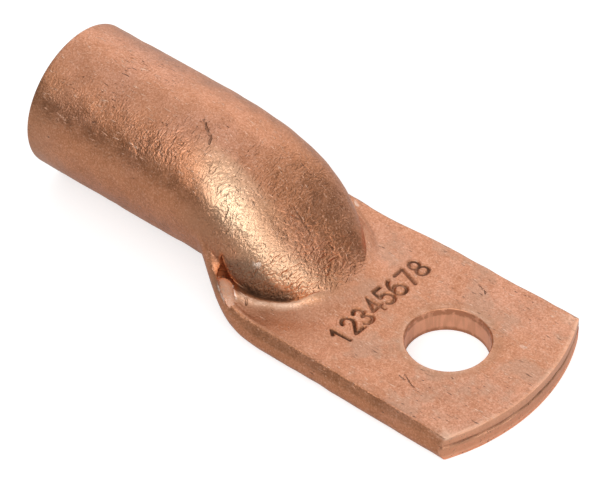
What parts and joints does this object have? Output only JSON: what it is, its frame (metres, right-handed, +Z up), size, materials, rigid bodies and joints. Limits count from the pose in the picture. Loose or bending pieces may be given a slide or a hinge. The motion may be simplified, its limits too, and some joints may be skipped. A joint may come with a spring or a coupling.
{
  "type": "copper cable lug",
  "caption": "Tubular copper lug: a round barrel takes a stranded conductor and a flat palm with a round hole bolts to a terminal.",
  "frame": {"origin": "centre of the bolt hole on the flat underside of the palm", "axes": "+Z up, out of the palm's upper face; +X along the lug from the barrel to the tip of the palm"},
  "size_m": [0.0893, 0.034, 0.024],
  "materials": {
    "copper": "bare copper, dull, scratched and pitted"
  },
  "bodies": {
    "root": {"cable_lug": "copper"}
  },
  "joints": []
}
